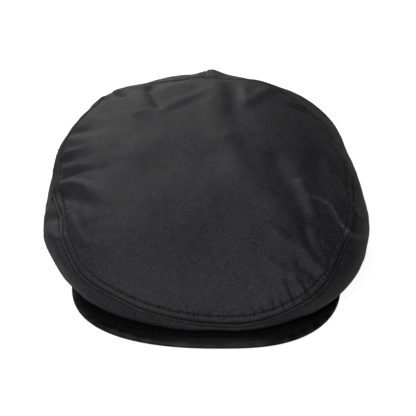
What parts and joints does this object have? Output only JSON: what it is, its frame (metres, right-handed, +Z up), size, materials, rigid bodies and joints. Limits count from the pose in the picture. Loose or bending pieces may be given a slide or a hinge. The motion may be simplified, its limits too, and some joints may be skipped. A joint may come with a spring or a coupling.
{
  "type": "oilcloth flat cap",
  "caption": "Soft oilcloth flat cap: an oval top panel seamed to a full side panel that lies low on a short stiff peak, open below for the head.",
  "frame": {"origin": "on the surface that the cap rests on, below the middle of its outline", "axes": "+Z up, -Y to the front where the peak points, +X to the wearer's left"},
  "size_m": [0.222, 0.265, 0.095],
  "materials": {
    "oilcloth": "waxed woven cotton, soft sheen",
    "peak_oilcloth": "waxed woven cotton over a stiff board, soft sheen"
  },
  "bodies": {
    "root": {"crown_top": "oilcloth", "side_panel": "oilcloth", "peak": "peak_oilcloth"}
  },
  "joints": []
}
